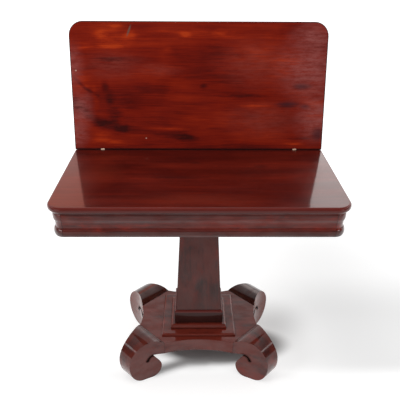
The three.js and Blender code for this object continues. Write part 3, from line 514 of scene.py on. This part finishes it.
# Turns that bring a piece's grain onto the first axis. The feet lie along the two diagonals:
# rising to the back on the right, or falling.
UPRIGHT = (0, math.pi / 2, 0)
ACROSS = (0, 0, math.pi / 2)
RISING = (0, 0, math.radians(-45))
FALLING = (0, 0, math.radians(45))
wood = {
    "upper": mahogany("mahogany_upper", upper_place, RED, bands=0.42, streaks=0.34, figure=0.24,
                      bias=upper_bias, marks=upper_marks,
                      rim={"tone": (0.034, 0.0060, 0.0046), "share": 0.90, "reach": 0.0055,
                           "coat_share": 0.02, "coat_reach": 0.0110}),
    "lower": mahogany("mahogany_lower", lower_place, DEEP, marks=lower_marks_and_painted_light,
                      figure=0.15, coat_roughness=0.08, cup=0.028,
                      rim={"tone": (0.135, 0.0140, 0.0090), "share": 0.60, "reach": 0.0085,
                           "coat_share": 0.65, "coat_reach": 0.0085}),
    "frame": mahogany("mahogany_frame", grain_place, ROSE, figure=0.35, coat_ior=1.48,
                      marks=frame_patches, dull=0.45),
    "corner": mahogany("mahogany_corner", grain_place, ROSE, figure=0.35, coat_ior=1.55,
                       marks=frame_patches, coat_roughness=0.05),
    "frame_side": mahogany("mahogany_frame_side", lambda g: grain_place(g, turn=ACROSS), ROSE,
                           figure=0.35, coat_ior=1.48, marks=frame_patches, dull=0.45),
    "along": mahogany("mahogany_along", grain_place, PLUM, figure=0.50, coat_ior=1.46,
                      marks=faint_patches, dull=0.45),
    "tiers": mahogany("mahogany_tiers", grain_place, PLUM, figure=0.50, coat_ior=1.46,
                      marks=tier_figure_and_reflection, dull=0.35),
    "upright": mahogany("mahogany_upright", lambda g: grain_place(g, turn=UPRIGHT), PLUM,
                        bands=0.36, streaks=0.26, figure=0.56, figure_size=15.0, coat_ior=1.46,
                        marks=pillar_figure_and_shade, polish=pillar_polish, dull=0.25),
    # The plinth block, in the darker tones of painted shade
    "dark": mahogany("mahogany_dark", grain_place, SHADED_PLUM, figure=0.35, coat_ior=1.41,
                     marks=plinth_sheen_and_highlight, polish=plinth_polish),
}
for name, turn, side in (("rising", RISING, -1), ("falling", FALLING, 1)):
    wood[name] = mahogany("mahogany_" + name, lambda g, turn=turn: grain_place(g, turn=turn), PLUM,
                          figure=0.45, figure_size=12.0, coat_ior=1.44, marks=foot_marks_and_painted_light(side),
                          polish=foot_polish(side), dull=0.40)


# Plain wood and metals

def plain_wood(name, turn=(0, 0, 0)):
    material, g = new_material(name)
    at = warped(g, grain_place(g, turn=turn), (0.01, 0.02, 0.02))
    rings = g.noise(at, (1.5, 45, 45), detail=4)
    fibre = g.noise(at, (9, 420, 420), detail=4)
    value = g.math("ADD", g.math("MULTIPLY", rings, 0.65), g.math("MULTIPLY", fibre, 0.35))
    colour = g.colours(g.ramp(value, 0.35, 0.66), [
        (0.0, (0.115, 0.056, 0.022)), (0.5, (0.235, 0.130, 0.056)), (1.0, (0.360, 0.220, 0.105)),
    ])
    grime_and_shade = g.ramp(g.noise(at, (7, 7, 7), detail=4), 0.45, 0.75)
    colour = g.mix(g.math("MULTIPLY", grime_and_shade, 0.45), colour, (0.060, 0.032, 0.016))
    colour = g.mix(g.math("MULTIPLY", edge_mask(g, 0.002), 0.35), colour, (0.050, 0.026, 0.013))
    bump = g.add("ShaderNodeBump", {"Height": fibre, "Strength": 0.25, "Distance": 0.0005}).outputs[0]
    finish_material(g, {"Base Color": colour, "Roughness": g.ramp(fibre, 0.3, 0.7, 0.62, 0.82),
                        "Normal": bump})
    return material


def metal(name, bright, dull, roughness, tarnish, shine=1.0):
    material, g = new_material(name)
    at = g.add("ShaderNodeTexCoord").outputs["Object"]
    stain = g.ramp(g.noise(at, (90, 90, 90), detail=5), 0.40, 0.66)
    fine = g.noise(at, (900, 900, 900), detail=3)
    colour = g.mix(g.math("MULTIPLY", stain, tarnish), bright, dull)
    colour = g.mix(g.math("MULTIPLY", edge_mask(g, 0.0006), 0.5), colour, bright)
    bump = g.add("ShaderNodeBump", {"Height": fine, "Strength": 0.15, "Distance": 0.0002}).outputs[0]
    finish_material(g, {"Base Color": colour, "Metallic": shine, "Normal": bump,
                        "Roughness": g.ramp(stain, 0.0, 1.0, roughness, roughness + 0.25)})
    return material


plain = {"along": plain_wood("plain_along"), "across": plain_wood("plain_across", ACROSS),
         "upright": plain_wood("plain_upright", UPRIGHT), "rising": plain_wood("plain_rising", RISING),
         "falling": plain_wood("plain_falling", FALLING)}
brass = metal("old_brass", (0.92, 0.66, 0.50), (0.56, 0.33, 0.22), 0.30, 0.45, shine=0.6)
iron = metal("dark_iron", (0.16, 0.15, 0.145), (0.050, 0.034, 0.026), 0.45, 0.85)


def material_of(name):
    if name == "upper_leaf":
        return wood["upper"]
    if name == "lower_leaf":
        return wood["lower"]
    if "hinge" in name:
        return brass
    if name.startswith("swivel") or name.startswith("bearer_screw"):
        return iron
    if name == "plinth_block":
        return wood["dark"]
    if name.endswith("_tier"):
        return wood["tiers"]
    slanting = "rising" if name.startswith(("front_left_", "back_right_")) else "falling"
    if name.endswith("_foot"):
        return wood[slanting]
    if "_dowel_" in name:
        return plain[slanting]
    if name in ("frame_left_rail", "frame_right_rail"):
        return wood["frame_side"]
    if name == "frame_front_rail":
        return wood["frame"]
    if name in ("frame_left_corner", "frame_right_corner"):
        return wood["corner"]
    if name.startswith("pillar") and name.endswith("_board"):
        return wood["upright"]
    if name in ("pillar_core", "pillar_head_block", "left_glue_block", "right_glue_block"):
        return plain["upright"]
    if name == "pivot_rail":
        return plain["across"]
    if name in ("frame_back_rail", "well_bottom", "bearer", "stop_block"):
        return plain["along"]
    return wood["along"]


# Edges. The solids keep their shape: each gets softened arrises and smooth curves.

def new_modifier(name):
    """An empty modifier: its node group, its graph and the mesh that comes in."""
    group = bpy.data.node_groups.new(name, "GeometryNodeTree")
    group.interface.new_socket("Geometry", in_out="INPUT", socket_type="NodeSocketGeometry")
    group.interface.new_socket("Geometry", in_out="OUTPUT", socket_type="NodeSocketGeometry")
    g = Graph(group)
    return group, g, g.add("NodeGroupInput").outputs[0]


CURVE_ANGLE = math.radians(32)  # sharper edges stay sharp
ARRIS_ANGLE = math.radians(40)  # sharper edges are softened
FLAT_ANGLE = math.radians(0.5)  # flatter edges lie within one face
WELD_DISTANCE = 0.00001
WOOD_ARRIS, METAL_ARRIS = 0.0008, 0.00015


def smooth_curves():
    """A modifier that shades smooth all but the edges sharper than CURVE_ANGLE."""
    group, g, start = new_modifier("smooth_curves")
    faces = g.add("GeometryNodeSetShadeSmooth", {"Geometry": start, "Shade Smooth": True}, domain="FACE")
    angle = g.add("GeometryNodeInputMeshEdgeAngle").outputs["Unsigned Angle"]
    sharp = g.math("GREATER_THAN", angle, CURVE_ANGLE)
    edges = g.add("GeometryNodeSetShadeSmooth", {
        "Geometry": faces.outputs[0], "Selection": sharp, "Shade Smooth": False,
    }, domain="EDGE")
    g.put(g.add("NodeGroupOutput").inputs[0], edges.outputs[0])
    return group


smoothing = smooth_curves()


def soften(obj, width):
    """Join flat faces, round the arrises by the width and shade the curves smooth."""
    weld = obj.modifiers.new("weld", "WELD")
    weld.merge_threshold = WELD_DISTANCE
    flats = obj.modifiers.new("flats", "DECIMATE")
    flats.decimate_type = "DISSOLVE"
    flats.angle_limit = FLAT_ANGLE
    if width:
        bevel = obj.modifiers.new("arris", "BEVEL")
        bevel.width = width
        bevel.segments = 2
        bevel.limit_method = "ANGLE"
        bevel.angle_limit = ARRIS_ANGLE
    obj.modifiers.new("curves", "NODES").node_group = smoothing
    normals = obj.modifiers.new("flat_faces", "WEIGHTED_NORMAL")
    normals.weight = 100
    normals.keep_sharp = True


# The lip moves the arris, which lies less than this in front of the fold axis and below it. Its
# tip is then 0.135 mm from the axis, inside the 0.141 mm that the upper leaf leaves free.
LIP_FRONT, LIP_BELOW = 0.0002, 0.0003
LIP_OFFSET = (0, 0.00020, 0.00019)


def fold_lip():
    """A modifier that closes the hair of light between the leaves: old polish built up on the arris."""
    group, g, start = new_modifier("fold_lip")
    place = g.add("GeometryNodeInputPosition").outputs[0]
    at_back = g.math("GREATER_THAN", g.part(place, "Y"), FOLD_Y - LIP_FRONT)
    at_top = g.math("GREATER_THAN", g.part(place, "Z"), AXIS_Z - LIP_BELOW)
    lip = g.add("GeometryNodeSetPosition", {
        "Geometry": start, "Selection": g.math("MULTIPLY", at_back, at_top), "Offset": LIP_OFFSET,
    })
    g.put(g.add("NodeGroupOutput").inputs[0], lip.outputs[0])
    return group


def arris_width(name):
    """How far a piece's arrises are rounded. The leaves' are round already."""
    if name.endswith("_leaf"):
        return 0
    return METAL_ARRIS if material_of(name) in (brass, iron) else WOOD_ARRIS


for name, obj in nodes.items():
    obj.data.materials.clear()
    obj.data.materials.append(material_of(name))
    soften(obj, arris_width(name))
nodes["lower_leaf"].modifiers.new("lip", "NODES").node_group = fold_lip()


# Camera, fitted to the photograph's landmarks

FOCAL_PIXELS, FRAME_PIXELS = 503.58, 400
SENSOR_WIDTH = 36
YAW, PITCH, ROLL = 0.01288, 0.49051, -0.00655
FACE_HEIGHT = 0.745  # the playing face, where the fold line lies
STAND = Vector((-0.01642, FOLD_Y - 1.73178, FACE_HEIGHT + 0.71353))

forward = Vector((math.sin(YAW) * math.cos(PITCH), math.cos(YAW) * math.cos(PITCH), -math.sin(PITCH)))
level = Vector((math.cos(YAW), -math.sin(YAW), 0))
right = math.cos(ROLL) * level + math.sin(ROLL) * forward.cross(level)
up = right.cross(forward)
camera = bpy.data.objects.new("camera", bpy.data.cameras.new("camera"))
camera.data.sensor_width = SENSOR_WIDTH
camera.data.lens = SENSOR_WIDTH * FOCAL_PIXELS / FRAME_PIXELS
camera.matrix_world = Matrix.Translation(STAND) @ Matrix((right, up, -forward)).transposed().to_4x4()
scene.collection.objects.link(camera)
scene.camera = camera


# Studio: a pale floor and backdrop, with a shadow painted into the floor's glow, soft lamps, and a dim
# room behind the camera

TABLE_MIDDLE = Vector((0, 0, 0.6))


def panel(name, place, size, radiance):
    """A soft lamp that points at the middle of the table. Glossy rays see the world's lights instead."""
    lamp = bpy.data.lights.new(name, "AREA")
    lamp.shape = "RECTANGLE"
    lamp.size, lamp.size_y = size
    lamp.energy = radiance * math.pi * size[0] * size[1]
    obj = bpy.data.objects.new(name, lamp)
    obj.location = place
    obj.rotation_mode = "QUATERNION"
    obj.rotation_quaternion = (TABLE_MIDDLE - Vector(place)).to_track_quat("-Z", "Y")
    obj.visible_glossy = False
    scene.collection.objects.link(obj)


panel("left_lamp", (-2.5, -1.5, 2.5), (1.0, 1.0), 13.0)
panel("right_lamp", (2.3, -1.4, 1.7), (0.8, 1.0), 6.0)
panel("overhead_lamp", (-0.35, -0.3, 3.6), (1.4, 1.4), 6.0)


def shown_rays(g):
    """1 for the rays that show the backdrop itself: seen, mirrored or through glass."""
    path = g.add("ShaderNodeLightPath")
    shown = g.math("MAXIMUM", path.outputs["Is Camera Ray"], path.outputs["Is Glossy Ray"])
    return g.math("MAXIMUM", shown, path.outputs["Is Transmission Ray"]), path


def between(g, value, low, high, soft):
    """1 from low to high, fading out over the soft width on either side."""
    return g.math("MULTIPLY", g.ramp(value, low - soft, low), g.ramp(value, high + soft, high))


def softbox(g, direction, azimuth, reach, low, high, strength):
    """A window of light in the dim room. In degrees: how far right of the front, half width, heights."""
    angle = math.radians(azimuth)
    along = g.math("ADD", g.math("MULTIPLY", g.part(direction, "X"), math.sin(angle)),
                   g.math("MULTIPLY", g.part(direction, "Y"), -math.cos(angle)))
    full, none = math.cos(math.radians(reach * 0.7)), math.cos(math.radians(reach))
    across = g.ramp(along, none, full, 0, strength)
    bottom, top = math.sin(math.radians(low)), math.sin(math.radians(high))
    return g.math("MULTIPLY", across, between(g, g.part(direction, "Z"), bottom, top, 0.03))


def studio_world():
    """White when seen, a soft light from above on matt surfaces, and a room for polish to mirror."""
    world = bpy.data.worlds.new("studio")
    world.use_nodes = True
    world.node_tree.nodes.clear()
    g = Graph(world.node_tree)
    direction = g.add("ShaderNodeTexCoord").outputs["Generated"]
    x, y, z = (g.part(direction, axis) for axis in "XYZ")
    shown, path = shown_rays(g)

    # The room: white behind the table and dim in front, with a hazy wall, two windows and two slits
    backdrop = g.ramp(y, -0.20, 0.50, 0.04, 1.0)
    haze = g.math("MULTIPLY", between(g, z, 0.38, 0.66, 0.07), g.ramp(y, 0.0, -0.3, 0.0, 0.42))
    windows = g.math("ADD", softbox(g, direction, -37, 21, 2, 10, 4.0),
                     softbox(g, direction, 43, 12, 2, 10, 4.0))
    slits = g.math("MULTIPLY", between(g, z, 0.46, 0.54, 0.04),
                   g.ramp(g.math("ABSOLUTE", x), 0.76, 0.82, 0.0, 3.2))
    windows = g.math("ADD", windows, slits)

    # Behind the table, to the left and right: what the lower leaf mirrors in two strips
    band = g.math("MULTIPLY", between(g, z, 0.30, 0.54, 0.05), g.ramp(y, 0.5, 0.7))
    at_left = g.math("MULTIPLY", band, g.ramp(x, -0.06, -0.16))
    at_right = g.math("MULTIPLY", band, g.ramp(x, 0.06, 0.16))
    strips = g.math("MULTIPLY_ADD", at_right, 1.25,
                    g.math("MULTIPLY", at_left, g.ramp(z, 0.36, 0.50, 0.14, 0.54)))
    glossy = path.outputs["Is Glossy Ray"]
    warm = g.math("MULTIPLY", g.math("MULTIPLY", at_left, glossy), g.ramp(z, 0.36, 0.48, 0.6, 1.0))
    tint = g.mix(warm, (1, 1, 1), (1.0, 0.36, 0.27))
    tint = g.mix(g.math("MULTIPLY", at_right, glossy), tint, (1.0, 0.91, 0.89))

    sight = g.math("ADD", g.math("ADD", backdrop, g.math("ADD", haze, windows)), strips)
    ambient = g.math("MULTIPLY", path.outputs["Is Diffuse Ray"], g.ramp(z, -0.05, 0.65, 0.18, 0.62))
    strength = g.math("MAXIMUM", g.math("MULTIPLY", sight, shown), ambient)
    seen = path.outputs["Is Camera Ray"]
    strength = g.math("MULTIPLY_ADD", g.math("SUBTRACT", 1, seen), strength, seen)
    background = g.add("ShaderNodeBackground", {"Color": tint, "Strength": strength})
    g.put(g.add("ShaderNodeOutputWorld").inputs["Surface"], background.outputs[0])
    return world


# The middle of the shadow painted on the floor, and the line of painted deep shadow by the front left
# foot
SHADOW = (0.09, PILLAR_Y, 0)
CONTACT_SHADOW = ((-0.160, -0.200), (-0.100, -0.176), (-0.045, -0.155), (0.020, -0.146))


def floor_glow(g, place, seen):
    """How white the floor's glow is: a painted shadow makes it less white under the table and to its
    right, where the shadow is deep.
    """
    from_shadow = g.vector("SUBTRACT", place, SHADOW)
    x, y = g.part(place, "X"), g.part(place, "Y")

    # Painted shadow under the platform, by the front left foot, and at the soft edge between the front
    # feet
    core = g.ramp(g.vector("LENGTH", g.vector("MULTIPLY", from_shadow, (0.42, 1, 0))), 0.086, 0.126)
    contact_shadow = stroke(g, place, CONTACT_SHADOW, 0.042)
    fringe = blob(g, place, (0.0, -0.155), (0.140, 0.060), 1.0)
    outside = g.math("MULTIPLY", core, g.math("MULTIPLY_ADD", contact_shadow, -0.85, 1.0))
    outside = g.math("MULTIPLY", outside, g.math("MULTIPLY_ADD", fringe, -0.45, 1.0))

    # Painted shadow to the right, fading to the front and the back, and darkest beside the right feet
    shade = g.math("MULTIPLY", g.ramp(x, 0.05, 0.75, 0.0, 0.38), g.ramp(y, 0.10, 0.45, 1.0, 0.5))
    shade = g.math("MULTIPLY", shade, g.ramp(y, -0.28, -0.16, 0.1, 1.0))
    shade = g.math("MULTIPLY_ADD", blob(g, place, (0.31, 0.06), (0.20, 0.20), 1.0), 0.27, shade)
    shade = g.math("MAXIMUM", shade, g.ramp(y, -0.15, -0.24, 0.0, 0.14))

    # Whiter again far away, and dim far in front, but only when mirrored
    near = g.math("MULTIPLY", g.math("SUBTRACT", 0.74, shade), outside)
    far = g.ramp(g.vector("LENGTH", from_shadow), 0.7, 2.2, 0.0, 0.5)
    lit = g.math("MAXIMUM", g.ramp(y, -1.1, -0.5, 0.3, 1.0), seen)
    return g.math("MULTIPLY", g.math("ADD", near, far), lit)


def pale_floor():
    """Matt grey that takes the table's shadow, under a glow, with a shadow painted into it, that is only
    seen and mirrored.
    """
    material, g = new_material("pale_floor")
    place = g.add("ShaderNodeTexCoord").outputs["Object"]
    shown, path = shown_rays(g)
    white = floor_glow(g, place, path.outputs["Is Camera Ray"])
    glow = g.add("ShaderNodeEmission", {
        "Color": (1, 1, 1, 1), "Strength": g.math("MULTIPLY", white, shown),
    })
    matt = g.add("ShaderNodeBsdfDiffuse", {"Color": (0.5, 0.5, 0.5, 1)})
    both = g.add("ShaderNodeAddShader")
    g.put(both.inputs[0], matt.outputs[0])
    g.put(both.inputs[1], glow.outputs[0])
    g.put(g.add("ShaderNodeOutputMaterial").inputs["Surface"], both.outputs[0])
    return material


scene.world = studio_world()
bpy.ops.mesh.primitive_plane_add(size=60, location=(0, 0, 0))
floor = bpy.context.object
floor.name = "floor"
floor.data.materials.append(pale_floor())

scene.view_settings.view_transform = "Standard"
